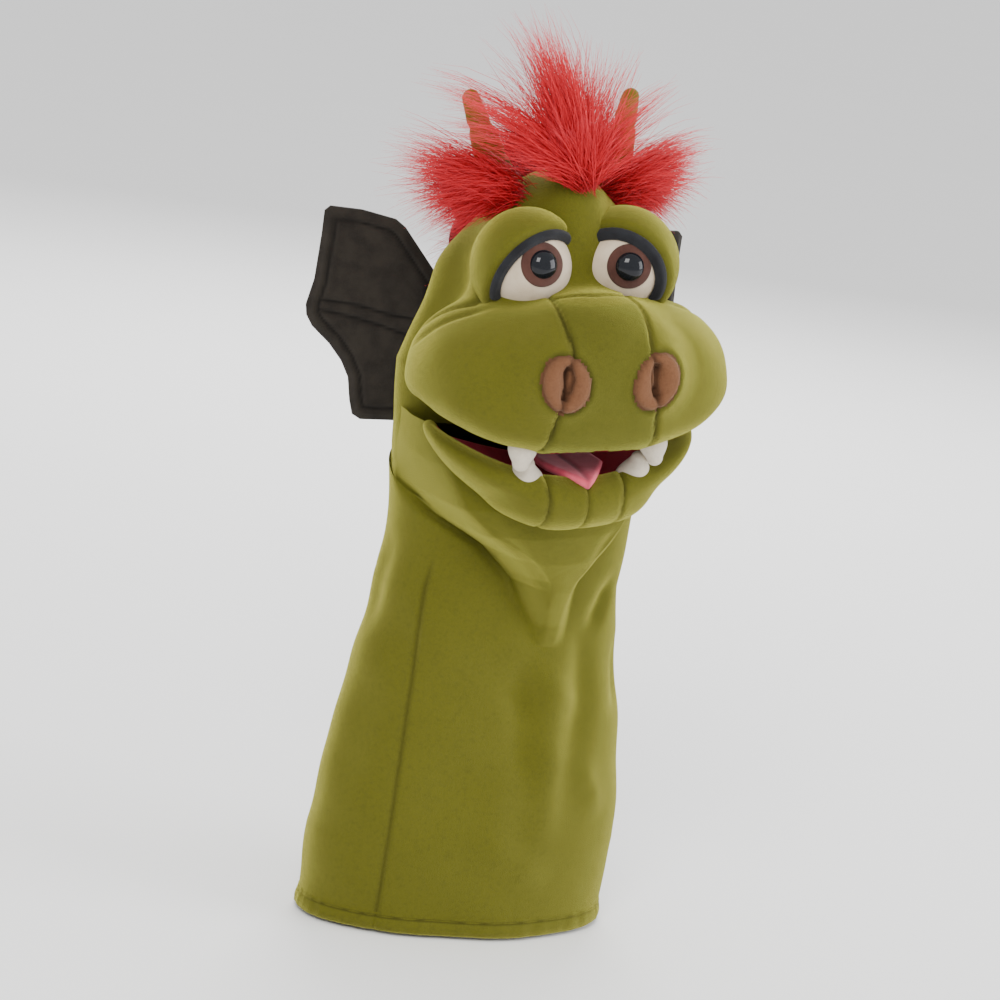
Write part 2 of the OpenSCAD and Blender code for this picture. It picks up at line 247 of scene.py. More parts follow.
def join(a, b, soft):
    h = np.clip(0.5 + 0.5 * (b - a) / soft, 0, 1)
    return b * (1 - h) + a * h - soft * h * (1 - h)


def cut(a, b, soft):
    """What is inside both a and b."""
    return -join(-a, -b, soft)


def mirrored(p):
    return np.stack([np.abs(p[..., 0]), p[..., 1], p[..., 2]], axis=-1)


def surface(shape, lo, hi, step):
    """Points and quads of shape's zero surface, by surface nets and then a few steps onto the surface."""
    lo, hi = np.array(lo, dtype=float), np.array(hi, dtype=float)
    counts = np.ceil((hi - lo) / step).astype(int) + 1
    axes = [lo[i] + step * np.arange(counts[i]) for i in range(3)]
    grid = np.stack(np.meshgrid(*axes, indexing="ij"), axis=-1)
    value = shape(grid.reshape(-1, 3)).reshape(counts)
    inside = value < 0
    n = counts - 1
    total, crossings = np.zeros((*n, 3)), np.zeros(n)
    corners = [np.array([i, j, k]) for i in (0, 1) for j in (0, 1) for k in (0, 1)]

    def corner(array, c):
        return array[c[0]:c[0] + n[0], c[1]:c[1] + n[1], c[2]:c[2] + n[2]]

    for a in corners:
        for axis in range(3):
            if a[axis]:
                continue
            b = a.copy()
            b[axis] = 1
            va, vb = corner(value, a), corner(value, b)
            crosses = (va < 0) != (vb < 0)
            share = np.where(crosses, va / np.where(crosses, va - vb, 1.0), 0.0)
            spot = np.broadcast_to(a.astype(float), (*n, 3)).copy()
            spot[..., axis] += share
            total += np.where(crosses[..., None], spot, 0.0)
            crossings += crosses
    used = crossings > 0
    index = -np.ones(n, dtype=int)
    index[used] = np.arange(used.sum())
    base = np.argwhere(used)
    points = lo + step * (base + total[used] / crossings[used][:, None])
    quads = []
    for axis in range(3):
        u, v = (axis + 1) % 3, (axis + 2) % 3
        first = [slice(1, -1)] * 3
        first[axis] = slice(0, -1)
        second = list(first)
        second[axis] = slice(1, None)
        flips = inside[tuple(first)] != inside[tuple(second)]
        at = np.argwhere(flips)
        at[:, u] += 1
        at[:, v] += 1
        keep = np.ones(len(at), dtype=bool)
        for k in range(3):
            keep &= (at[:, k] >= (0 if k == axis else 1)) & (at[:, k] < n[k])
        at = at[keep]
        eu, ev = np.eye(3, dtype=int)[u], np.eye(3, dtype=int)[v]
        around = [at, at - eu, at - eu - ev, at - ev]
        quad = np.stack([index[tuple(c.T)] for c in around], axis=1)
        outward = inside[tuple(at.T)]
        quad[~outward] = quad[~outward][:, ::-1]
        quads.append(quad)
    quads = np.concatenate(quads)
    quads = quads[(quads >= 0).all(axis=1)]
    for _ in range(4):
        normal, d = gradient(shape, points)
        points = points - np.clip(d, -step, step)[:, None] * normal
    return points, quads


def gradient(shape, p):
    """Unit outward direction of shape at p, and the distance there."""
    e, d = 0.05, shape(p)
    g = np.stack([(shape(p + e * axis) - shape(p - e * axis)) / (2 * e) for axis in np.eye(3)], axis=-1)
    size = np.maximum(norm(g, axis=-1), 1e-6)
    return g / size[:, None], d / size


def near_path(p, path):
    """Distance from each point to a path of straight stretches, and how far along it, 0 to 1."""
    path = np.array(path, dtype=float)
    best, along = np.full(len(p), 1e9), np.zeros(len(p))
    lengths = norm(np.diff(path, axis=0), axis=1)
    done, whole = 0.0, lengths.sum()
    for a, b, length in zip(path[:-1], path[1:], lengths):
        t = np.clip(((p - a) @ (b - a)) / length ** 2, 0, 1)
        d = norm(p - (a + t[:, None] * (b - a)), axis=1)
        closer = d < best
        best[closer], along[closer] = d[closer], (done + t[closer] * length) / whole
        done += length
    return best, along


def curve_path(points, count=24):
    """A smooth path through a few points (Catmull-Rom)."""
    pts = np.array(points, dtype=float)
    pts = np.vstack([2 * pts[0] - pts[1], pts, 2 * pts[-1] - pts[-2]])
    out = []
    for i in range(1, len(pts) - 2):
        a, b, c, d = pts[i - 1:i + 3]
        for t in np.linspace(0, 1, max(2, count // (len(pts) - 3)), endpoint=False):
            out.append(0.5 * (2 * b + (c - a) * t + (2 * a - 5 * b + 4 * c - d) * t ** 2
                              + (3 * b - a - 3 * c + d) * t ** 3))
    out.append(pts[-2])
    return np.array(out)


def laid(shape, path):
    """A path through a few points, laid on shape's surface."""
    path = curve_path(path)
    for _ in range(6):
        normal, d = gradient(shape, path)
        path = path - d[:, None] * normal
    return path


def groove(p, path, width, depth, ends=0.0):
    """How far a seam or crease along path draws the surface in at p; ends fades it towards its ends."""
    d, along = near_path(p, path)
    fade = 1.0 if ends == 0 else smoothstep(0, ends, along) * smoothstep(0, ends, 1 - along)
    return depth * bell(d, width) * fade


def split(body, points, quads, labels, painted_shading, looks):
    """One piece of body for each label's faces; looks says its name, material, slot and CAD nodes."""
    for label, (name, material, slot, *nodes) in looks.items():
        own = quads[labels == label]
        keep, faces = np.unique(own, return_inverse=True)
        piece = mesh_piece(name, points[keep], faces.reshape(own.shape), material)
        set_painted_shading(piece, painted_shading[keep])
        place(piece, body, slot, *nodes)


# ---- materials of the object ----

GREEN = plush("plush_green", (0.070, 0.0685, 0.0042), (0.108, 0.104, 0.009), (0.014, 0.012, 0.001), sheen=0.9,
              sheen_tint=(0.95, 0.90, 0.18))
BRIDGE = plush("plush_bridge", (0.063, 0.062, 0.0038), (0.094, 0.092, 0.008), (0.013, 0.011, 0.001),
               sheen=0.8, sheen_tint=(0.90, 0.90, 0.18))
LINING = plush("mouth_lining", (0.36, 0.010, 0.026), (0.50, 0.018, 0.042), (0.06, 0.002, 0.004),
               sheen=0.3, sheen_tint=(1.0, 0.3, 0.35))
NOSTRIL = plush("nostril_plush", (0.12, 0.050, 0.022), (0.19, 0.085, 0.042), (0.02, 0.007, 0.003),
                sheen=0.3, sheen_tint=(0.9, 0.6, 0.4))
HORN = plush("horn_plush", (0.12, 0.080, 0.008), (0.18, 0.125, 0.016), (0.025, 0.015, 0.002),
             sheen=0.35, sheen_tint=(0.8, 0.6, 0.3))
# cream felt teeth, their colours darkened to paint in the shade they sit in under the lips
TOOTH = plush("tooth_felt", (0.54, 0.47, 0.37), (0.64, 0.58, 0.47), (0.30, 0.22, 0.18),
              sheen=0.3, sheen_tint=(1.0, 1.0, 1.0))
EYE_FELT = felt("eye_felt", (0.48, 0.38, 0.27), (0.58, 0.48, 0.36))
TONGUE = felt("tongue_felt", (0.66, 0.07, 0.12), (0.80, 0.14, 0.20))
BLACK_FELT = felt("felt_black", (0.012, 0.0095, 0.0075), (0.022, 0.018, 0.014), sheen=0.12)
LASH = felt("lash_felt", (0.008, 0.008, 0.010), (0.015, 0.016, 0.019), sheen=0.10)
IRIS = felt("iris_brown", (0.045, 0.017, 0.012), (0.075, 0.030, 0.022), 1400.0)
POCKET = felt("pocket_lining", (0.02, 0.02, 0.02), (0.04, 0.04, 0.04))


# ---- head ----

def lip_height(x, mid):
    """The lips curl up towards the corners of the mouth."""
    return mid + 15.0 * np.minimum(np.abs(x) / 67.0, 1.25) ** 2


def neck_section(z):
    """Half width and half depth of the cloth tube at height z, before the lean."""
    heights = [0, 50, 90, 135, 175, 205, 245, 300, 335, 368, 400, 430]
    a = np.interp(z, heights, [93, 93, 89, 83, 77, 73, 73, 74, 74, 60, 48, 36])
    b = np.interp(z, heights, [47, 47, 45, 44, 43, 42, 41, 40, 38, 32, 30, 26])
    return a, b


def collar(p):
    a, b = neck_section(p[..., 2])
    flat = (np.sqrt((p[..., 0] / a) ** 2 + ((p[..., 1] - 2) / b) ** 2) - 1) * np.minimum(a, b)
    flat = cut(flat, p[..., 2] - 405, 20)
    return cut(flat, -32 - p[..., 1], 4)


def mouth_oval(p, grow=0.0, reach=62.0):
    a, b = 74 + grow, 53 + grow
    return (np.sqrt((p[..., 0] / a) ** 2 + ((p[..., 1] + reach) / b) ** 2) - 1) * b


def head_shape(p):
    m = mirrored(p)
    x, z = m[..., 0], m[..., 2]
    muzzle = cushion(m, (0, -70, 342), (80, 62, 49), 2.5)
    muzzle = join(muzzle, ellipsoid(m, (56, -68, 338), (32, 44, 36)), 16)
    muzzle = join(muzzle, ellipsoid(m, (0, -104, 366), (32, 30, 26)), 18)
    muzzle = join(muzzle, ellipsoid(m, (26, -116, 354), (20, 18, 21)), 12)
    muzzle = join(muzzle, ellipsoid(m, (26, -125, 353), (16, 12, 18)), 7)
    muzzle = cut(muzzle, -ellipsoid(m, (26, -145, 354.5), (5.0, 14.0, 11.5)), 8)
    muzzle = cut(muzzle, lip_height(x, 303.5) - z, 15)
    skull = ellipsoid(m, (0, -38, 394), (44, 44, 56))
    skull = join(skull, ellipsoid(m, (0, -62, 428), (17, 18, 26)), 14)
    skull = join(skull, ellipsoid(m, (30, -58, 396), (22, 26, 26)), 12)
    head = join(muzzle, skull, 12)
    back = join(collar(p), ellipsoid(m, (0, -8, 384), (44, 34, 50)), 16)
    head = join(head, back, 11)
    cavity = cut(mouth_oval(m, -9.0), z - lip_height(x, 303.5) - 11, 8)
    cavity = cut(cavity, p[..., 1] + 18, 4)
    return cut(head, -cavity, 5)


BRIDGE_SEAM = laid(head_shape, [(22, -80, 392), (22, -108, 385), (22, -126, 372), (25, -136, 356),
                                (28, -134, 338), (31, -130, 320), (33, -120, 304)])
BROW_SEAM = laid(head_shape, [(0, -104, 391), (12, -100, 391), (22, -96, 390)])
CREASES = [  # path on the side x > 0, width, depth
    ([(40, -78, 384), (58, -62, 372), (72, -44, 352)], 3.2, 2.6),
    ([(44, -84, 376), (64, -72, 366), (78, -52, 350)], 3.0, 1.8),
    ([(84, -52, 322), (76, -78, 322), (66, -98, 318)], 4.0, 2.4),
    ([(86, -60, 332), (80, -82, 334)], 4.0, 1.6),
    ([(73, -20, 330), (72, -34, 336), (76, -46, 344)], 3.0, 3.2),
    ([(52, -34, 372), (60, -38, 356), (70, -40, 338)], 3.0, 2.4),
]


def relief(m):
    """Seams and creases of the head: how far to draw in, and the painted shade in their grooves."""
    seam = groove(m, BRIDGE_SEAM, 1.5, 1.9)
    seam = np.maximum(seam, groove(m, BROW_SEAM, 1.5, 1.5))
    # painted shade along the seams' grooves
    painted_shading = 0.75 * seam / 1.9
    inward = seam
    for path, width, depth in CREASES:
        c = groove(m, laid(head_shape, path), width, depth, 0.3)
        inward = inward + c
        # painted shade in the creases
        painted_shading = np.maximum(painted_shading, 0.35 * c / depth)
    return inward, painted_shading


def nostril_oval(m):
    return np.hypot((m[..., 0] - 26 - 0.1 * (m[..., 2] - 353)) / 14.0, (m[..., 2] - 353) / 16.5)


def build_head():
    step = 1.7
    points, quads = surface(head_shape, (-98, -146, 268), (98, 56, 462), step)
    m = mirrored(points)
    normal, _ = gradient(head_shape, points)
    inward, painted_shading = relief(m)
    # painted shade along the edge of the upper lip, where it closes over the mouth
    by_lips = smoothstep(9, 2, np.abs(m[:, 2] - lip_height(m[:, 0], 300))) * (m[:, 1] < -20)
    painted_shading = np.maximum(painted_shading, 0.5 * by_lips * smoothstep(0, -8, mouth_oval(m, -4.0)))
    wobble = 0.5 * np.sin(points[:, 0] / 9.0 + 1.3) * np.sin(points[:, 2] / 7.5) * np.sin(points[:, 1] / 8.0)
    oval = nostril_oval(m)
    nose = points[:, 1] < -100
    rim = bell(oval - 1, 0.09) * nose
    slit = bell(m[:, 0] - 26, 1.6) * smoothstep(12, 8, np.abs(m[:, 2] - 354)) * nose
    pucker = 0.7 * np.sin(m[:, 2] / 2.1) * bell(m[:, 0] - 26, 5.0) * (oval < 1) * nose
    inward = inward + 1.3 * rim + 2.6 * slit + pucker - 1.2 * smoothstep(1.0, 0.75, oval) * nose
    # painted shade in the groove round each nostril, darker still in its slit
    painted_shading = np.maximum.reduce([painted_shading, 0.55 * rim, 0.95 * slit])
    points = points + (wobble - inward)[:, None] * normal
    centre = points[quads].mean(axis=1)
    cm = mirrored(centre)
    lining = (mouth_oval(cm, -7.0) < 0) & (centre[:, 2] < 322) & (centre[:, 1] < -18) & (cm[:, 2] > 300)
    below = centre[:, 2] < 284 - 0.28 * (centre[:, 1] + 20)
    front_wall = (centre[:, 1] < -14) & (cm[:, 0] < 62) & (centre[:, 2] < 305)
    labels = np.full(len(quads), "cheek_right", dtype=object)
    labels[centre[:, 0] > 0] = "cheek_left"
    edge = np.interp(centre[:, 2], [304, 320, 338, 356, 372], [33, 31, 28, 25, 22])
    labels[(cm[:, 0] < edge) & (centre[:, 1] < -78) & (centre[:, 2] < 391)] = "bridge"
    upper = (centre[:, 2] > 391) | ((centre[:, 2] > 372) & (centre[:, 1] > -66))
    labels[upper & (centre[:, 1] <= -40)] = "forehead"
    labels[centre[:, 1] > -40 + 0.35 * (centre[:, 2] - 372)] = "back"
    oval = nostril_oval(cm)
    for side, word in SIDES:
        labels[(oval < 1) & (centre[:, 1] < -100) & (side * centre[:, 0] > 0)] = "nostril_" + word
    labels[lining] = "lining"
    labels[below | front_wall] = "open"
    split("head", lean(points), quads, labels, painted_shading, {
        "cheek_right": ("muzzle_cheek_right", GREEN, "plush_green", "muzzle_right_cheek"),
        "cheek_left": ("muzzle_cheek_left", GREEN, "plush_green", "muzzle_left_cheek"),
        "bridge": ("muzzle_bridge", BRIDGE, "plush_bridge", "muzzle_center_panel"),
        "forehead": ("forehead", GREEN, "plush_green", "forehead_panel"),
        "nostril_right": ("nostril_patch_right", NOSTRIL, "nostril_plush", "nostril_right"),
        "nostril_left": ("nostril_patch_left", NOSTRIL, "nostril_plush", "nostril_left"),
        "back": ("back_of_head", GREEN, "plush_green", "head_back_panel"),
        "lining": ("palate", LINING, "mouth_lining", "palate_lining", "muzzle_foam", "crown_stuffing",
                   "upper_mouth_board", "mouth_hinge_strip")})


# ---- jaw, drawn shut and dropped by gape() ----

def jaw_shape(p):
    m = mirrored(p)
    x, y, z = m[..., 0], p[..., 1], m[..., 2]
    bent = np.stack([x, y, z - lip_height(x, 0) * 1.1], axis=-1)
    body = cushion(bent, (0, -60, 303), (81, 54, 36), 2.15)
    body = join(body, ellipsoid(m, (0, -86, 286), (42, 26, 17)), 12)
    body = cut(body, z - lip_height(x, 303), 14)
    body = cut(body, (y + 25) * 0.788 - (z - 302) * 0.616, 8)
    hollow = cut(mouth_oval(m, -8.0, 52.0), lip_height(x, 291.5) - z, 7)
    return cut(body, -hollow, 6)


CHIN_MIDDLE = laid(jaw_shape, [(0, -98, 304), (0, -115, 292), (0, -110, 278), (0, -92, 268)])
CHIN_SEAM = laid(jaw_shape, [(22, -98, 304), (22, -114, 294), (22, -108, 278), (22, -92, 268),
                             (22, -60, 264)])


def build_jaw():
    step = 1.7
    points, quads = surface(jaw_shape, (-96, -142, 252), (96, -12, 330), step)
    m = mirrored(points)
    normal, _ = gradient(jaw_shape, points)
    seam = groove(m, CHIN_SEAM, 1.4, 1.3)
    middle = groove(points, CHIN_MIDDLE, 1.3, 1.0)
    # painted shade in the grooves of the chin seams, fading out towards the lips
    painted_shading = np.maximum(0.6 * seam / 1.3, 0.3 * middle / 0.8)
    painted_shading *= smoothstep(306, 298, points[:, 2])
    wobble = 0.6 * np.sin(points[:, 0] / 8.0 + 0.6) * np.sin(points[:, 1] / 7.0)
    wobble *= smoothstep(300, 285, points[:, 2])
    points = points + (wobble - np.maximum(seam, middle))[:, None] * normal
    centre = points[quads].mean(axis=1)
    cm = mirrored(centre)
    labels = np.full(len(quads), "side_right", dtype=object)
    labels[centre[:, 0] > 0] = "side_left"
    front = (cm[:, 0] < 22) & (centre[:, 1] < -55)
    labels[front & (centre[:, 0] <= 0)] = "chin_right"
    labels[front & (centre[:, 0] > 0)] = "chin_left"
    facing, _ = gradient(jaw_shape, centre)
    away = centre[:, :2] - (0, -52)
    away /= norm(away, axis=1)[:, None]
    between = (centre[:, 2] > 286) & (centre[:, 2] < lip_height(cm[:, 0], 301))
    inwards = (facing[:, :2] * away).sum(axis=1) < 0.25
    labels[(mouth_oval(cm, -6.5, 52.0) < 0) & between & inwards] = "lining"
    split("jaw", gape(points), quads, labels, painted_shading, {
        "side_right": ("jaw_side_right_plush", GREEN, "plush_green", "jaw_side_right"),
        "side_left": ("jaw_side_left_plush", GREEN, "plush_green", "jaw_side_left"),
        "chin_right": ("chin_right", GREEN, "plush_green", "chin_panel_right"),
        "chin_left": ("chin_left", GREEN, "plush_green", "chin_panel_left"),
        "lining": ("mouth_floor", LINING, "mouth_lining", "mouth_floor_lining", "jaw_foam",
                   "lower_mouth_board", "thumb_pocket")})


# ---- cloth of sleeve, neck and throat ----

BAG_Z = [176, 190, 215, 235, 252, 268, 290]
BAG_LEFT = [12, 8, -6, -27, -54, -70, -78]          # the bag's edges, towards -X and +X, at those heights
BAG_RIGHT = [26, 28, 30, 40, 50, 60, 74]
BAG_OUT = [0, 7, 25, 37, 44, 48, 44]                # how far it hangs forward
FOLDS = [  # path over the cloth as (x, y, z), width, height: + stands out, - draws in
    ([(20, -54, 196), (24, -46, 160), (29, -44, 120), (33, -44, 80), (34, -44, 40)], 10.0, 4.4),
    ([(8, -50, 186), (8, -44, 150), (13, -44, 115), (20, -44, 80)], 10.0, -3.4),
    ([(38, -46, 204), (44, -40, 170), (48, -38, 135), (48, -38, 95)], 9.0, -4.4),
    ([(-25, -41, 192), (8, -44, 166), (38, -36, 142), (62, -24, 124)], 8.0, 2.8),
    ([(-40, -38, 176), (-4, -44, 150), (30, -38, 124), (58, -28, 100)], 9.0, -2.8),
    ([(-12, -46, 62), (16, -46, 46), (44, -42, 32)], 9.0, 2.2),
    ([(46, -36, 112), (60, -32, 88), (72, -28, 66)], 8.0, 2.6),
    ([(-70, -16, 160), (-78, -14, 110), (-84, -12, 60)], 14.0, -3.4),
    ([(-76, -8, 240), (-78, -2, 205), (-80, 0, 165)], 10.0, -3.0),
    ([(-62, -26, 220), (-52, -36, 180), (-40, -42, 140)], 12.0, 2.2),
    ([(70, -16, 180), (74, -14, 150), (72, -20, 124)], 8.0, -4.0),
    ([(66, -22, 216), (54, -32, 196), (44, -38, 180)], 6.5, -4.6),
    ([(-60, -62, 262), (-40, -64, 236), (-16, -62, 214), (6, -54, 194)], 6.0, 3.4),
    ([(-46, -78, 262), (-26, -78, 240), (-6, -70, 220), (12, -60, 200)], 6.0, -4.2),
    ([(-30, -92, 262), (-12, -88, 246), (6, -80, 226), (18, -66, 206)], 6.0, 2.4),
    ([(34, -80, 256), (28, -78, 240), (26, -72, 224)], 5.0, -2.4),
    ([(0, 44, 170), (-24, 42, 120), (-30, 44, 60)], 16.0, -4.0),
    ([(30, 42, 190), (38, 40, 130), (30, 44, 70)], 16.0, 3.4),
    ([(-20, -47, 120), (-34, -46, 80), (-44, -44, 40)], 16.0, -2.0),
    ([(4, -47, 110), (2, -47, 70), (-2, -47, 36)], 12.0, 1.8),
]
SIDE_SEAM_X = -58.0


def cloth_at(theta, z):
    """A point of the cloth: theta is 0 in front and grows towards +X."""
    a, b = neck_section(z)
    power = 2.25
    s, c = np.sin(theta), np.cos(theta)
    fullness = (np.abs(s) ** power + np.abs(c) ** power) ** (-1 / power)
    x, y = a * s * fullness, 2 - b * c * fullness
    left, right, out = (np.interp(z, BAG_Z, v, left=v[0]) for v in (BAG_LEFT, BAG_RIGHT, BAG_OUT))
    width = np.maximum(right - left, 1.0)
    soft = np.clip(0.35 * width, 5, 16)
    front = smoothstep(-0.1, 0.35, c)
    bulge = out * front * smoothstep(left - 3, left + soft, x) * smoothstep(right + 3, right - soft, x)
    under = 1 - 0.25 * ((x - 0.5 * (left + right)) / (0.62 * width)) ** 2
    y = y - bulge * np.clip(under, 0.5, 1)
    # a fold of the cloth hangs back under the bag's left edge
    tuck = out / 44 * front * bell(x - left + 2, 6.0) * smoothstep(292, 270, z)
    y = y + 7.0 * tuck
    return np.stack([x, y, z + 0 * x], axis=-1)


def ring_height(theta):
    """Where the neck's cloth meets the throat band and the back of the head."""
    z = np.full_like(theta, 255.0)
    for _ in range(25):
        z = 0.5 * z + 0.5 * (225 + 0.4918 * (cloth_at(theta, z)[..., 1] + 82))
    return z


def top_height(theta):
    """Where the throat band ends, hidden in the jaw and in the corners of the mouth."""
    z = ring_height(theta)
    for _ in range(6):
        x = cloth_at(theta, z)[..., 0]
        z = 268 + 42 * np.clip(np.abs(x) / 70, 0, 1) ** 2.2
    return np.maximum(z, ring_height(theta) + 2)


def cloth_surface(theta, z):
    """Folded and seamed points of the cloth, leaned, with the painted shade of their seams."""
    p = cloth_at(theta, z).reshape(-1, 3)
    du = (cloth_at(theta + 0.01, z) - cloth_at(theta - 0.01, z)).reshape(-1, 3)
    dv = (cloth_at(theta, z + 0.5) - cloth_at(theta, z - 0.5)).reshape(-1, 3)
    normal = np.cross(du, dv)
    normal /= norm(normal, axis=1)[:, None]
    out = np.zeros(len(p))
    for path, width, height in FOLDS:
        out += groove(p, curve_path(path, 10), width, height, 0.4)
    out += (0.6 * np.sin(p[:, 0] / 11 + p[:, 2] / 23) * np.sin(p[:, 2] / 17 + 1.0)
            + 0.3 * np.sin(p[:, 2] / 7 + p[:, 0] / 9) + 0.9 * np.sin(p[:, 0] / 26 + p[:, 2] / 34 + 2.0))
    seam = bell(p[:, 0] - SIDE_SEAM_X - 0.03 * (p[:, 2] - 100), 1.3) * (p[:, 1] < 0)
    seam = seam * smoothstep(230, 205, p[:, 2])
    behind = bell(p[:, 0] - 60, 1.3) * (p[:, 1] > 0)
    out -= 1.0 * np.maximum(seam, behind)
    out += 2.5 * np.sin(theta.reshape(-1) * 3 + 0.5) * smoothstep(90, 0, p[:, 2])
    p = p + out[:, None] * normal
    # painted shade in the grooves of the side and back seams
    return lean(p, smoothstep(200, 258, p[:, 2])), 0.4 * np.maximum(seam, behind)


def cloth_sheet(name, theta, low, high, rows, closed, lift=0.0):
    """One sheet of cloth between two heights; its normals are the whole cloth's, so that no join shows."""
    share = np.linspace(0, 1, rows)[:, None]
    z = low * (1 - share) + high * share
    t = np.broadcast_to(theta, z.shape)
    p, painted_shading = cloth_surface(t, z)
    normal = np.cross(cloth_surface(t + 0.006, z)[0] - cloth_surface(t - 0.006, z)[0],
                      cloth_surface(t, z + 0.5)[0] - cloth_surface(t, z - 0.5)[0])
    normal /= norm(normal, axis=1)[:, None]
    p = p + (lift * smoothstep(-24, -10, p[:, 1]))[:, None] * normal
    piece = mesh_piece(name, p, grid_faces(rows, len(theta), closed), GREEN)
    set_painted_shading(piece, painted_shading)
    piece.data.normals_split_custom_set_from_vertices(normal.tolist())
    return piece


def hem_roll(t):
    """The turned-up hem: a soft band with a row of stitches, drawn as a groove with painted shade in it."""
    profile = [(-2.6, 13.0), (-0.4, 12.2), (0.5, 10.6), (-0.2, 9.4), (0.9, 8.0), (1.5, 4.5), (1.2, 1.6),
               (-0.2, 0.3), (-2.2, 0.2), (-3.6, 1.6), (-4.0, 5.0), (-3.6, 10.0)]
    e = 0.006
    points, painted_shading = [], []
    for out, z in profile:
        level = np.full_like(t, max(z, 0.6))
        here, _ = cloth_surface(t, level)
        side = cloth_surface(t + e, level)[0] - cloth_surface(t - e, level)[0]
        normal = np.column_stack([side[:, 1], -side[:, 0], np.zeros(len(t))])
        normal /= norm(normal, axis=1)[:, None]
        ripple = 0.10 * np.sin(t * 31) + 0.10 * np.sin(t * 47 + 1)
        ring = here + (out + ripple * (out > -1))[:, None] * normal
        ring[:, 2] = z
        points.append(ring)
        # painted shade in the groove of the row of stitches
        painted_shading.append(np.full(len(t), 0.75 if abs(z - 9.4) < 0.5 and out > -1 else 0.0))
    count, rings = len(t), len(profile)
    faces = grid_faces(rings + 1, count)[:, [0, 3, 2, 1]] % (rings * count)
    piece = mesh_piece("hem_roll", np.concatenate(points), faces, GREEN)
    set_painted_shading(piece, np.concatenate(painted_shading))
    return piece


def build_cloth():
    n = 420
    theta = np.linspace(-math.pi, math.pi, n, endpoint=False)
    flat = np.zeros_like(theta)
    ring = ring_height(theta)
    rows = 120
    sleeve = cloth_sheet("sleeve_cloth", theta, flat + 3, flat + 200, rows, True)
    hem = hem_roll(theta)
    place(hem, "sleeve", "plush_green", "hem_band")
    back = cloth_at(theta, ring)[:, 1]
    neck = cloth_sheet("neck_cloth", theta, flat + 200, ring + 3 * smoothstep(-25, -5, back), rows // 2, True)
    band = theta[back < 16]
    throat = cloth_sheet("throat_band", band, ring_height(band), top_height(band), rows // 3, False, -1.6)
    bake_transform(sleeve)
    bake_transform(neck)
    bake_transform(throat)
    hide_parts("sleeve_front_panel", "sleeve_right_panel", "sleeve_left_panel",
                "sleeve_back_panel")
    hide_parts("throat_gusset", "neck_right_panel", "neck_left_panel", "back_yoke")
    return sleeve, neck, throat


# ---- picture ----

def build_picture():
    azimuth, elevation, roll, distance = math.radians(-22), math.radians(14), math.radians(8), 2.0
    target = Vector((-0.0218, -0.040, 0.261))
    back = Vector((math.sin(azimuth) * math.cos(elevation), -math.cos(azimuth) * math.cos(elevation),
                   math.sin(elevation)))
    right = Vector((0, 0, 1)).cross(back).normalized()
    up = back.cross(right)
    right, up = right * math.cos(roll) + up * math.sin(roll), up * math.cos(roll) - right * math.sin(roll)
    camera = bpy.data.objects.new("camera", bpy.data.cameras.new("camera"))
    camera.data.lens, camera.data.sensor_width = 128.6, 36.0
    camera.matrix_world = Matrix.Translation(target + distance * back) @ Matrix(
        (right, up, back)).transposed().to_4x4()
    bpy.context.scene.collection.objects.link(camera)
    bpy.context.scene.camera = camera

    def area(name, spot, size, power, colour=(1, 1, 1)):
        light = bpy.data.objects.new(name, bpy.data.lights.new(name, "AREA"))
        light.data.size, light.data.energy, light.data.color = size, power, colour
        away = Vector(spot) - Vector((0, 0, 0.28))
        light.matrix_world = Matrix.Translation(spot) @ away.to_track_quat("Z", "Y").to_matrix().to_4x4()
        bpy.context.scene.collection.objects.link(light)

    area("key", (-0.9, -1.5, 1.7), 0.9, 36.0, (1.0, 0.98, 0.95))
    area("fill", (1.7, -1.0, 0.8), 1.2, 32.0, (0.97, 0.98, 1.0))
    area("rim", (0.6, 1.5, 1.2), 1.2, 30.0)
    world = bpy.data.worlds.new("studio")
    world.use_nodes = True
    world.node_tree.nodes["Background"].inputs["Color"].default_value = (1.0, 1.0, 1.0, 1.0)
    world.node_tree.nodes["Background"].inputs["Strength"].default_value = 1.1
    bpy.context.scene.world = world

    half = 15000
    paper = Nodes("paper")
    paper.link(paper.mix(paper.noise(6.0, 2.0), (0.96, 0.96, 0.96), (0.98, 0.98, 0.98)),
               paper.shader.inputs["Base Color"])
    paper.set(Roughness=0.9, Specular_IOR_Level=0.1)
    corners = [(-half, -half, -2), (half, -half, -2), (half, half, -2), (-half, half, -2)]
    floor = mesh_piece("floor", corners, [(0, 1, 2, 3)], paper.material, smooth=False)


# ---- eyes and lids ----

EYE = np.array([28.0, -71.0, 404.0])
EYE_R = 24.0
GAZE = {-1: (14.0, 2.0), 1: (8.0, 13.0)}     # how far each eye looks up and inwards, degrees
LID_NORMAL = {-1: np.array([0.34, 0.83, 0.44]), 1: np.array([0.56, 0.77, 0.30])}
LID_SET = {-1: -6.0, 1: -10.5}               # where the lids' rims stand along their normals


def gaze_frame(side):
    """The eye's own axes as columns: across, along the gaze, up."""
    lift, side = math.radians(GAZE[side][0]), math.radians(GAZE[side][1])
    turn_x = np.array([[1, 0, 0], [0, math.cos(lift), -math.sin(lift)], [0, math.sin(lift), math.cos(lift)]])
    turn_x = turn_x.T
    turn_z = np.array([[math.cos(side), math.sin(side), 0], [-math.sin(side), math.cos(side), 0], [0, 0, 1]])
    return turn_z @ turn_x


def on_side(p, side):
    return p * np.array([side, 1, 1])


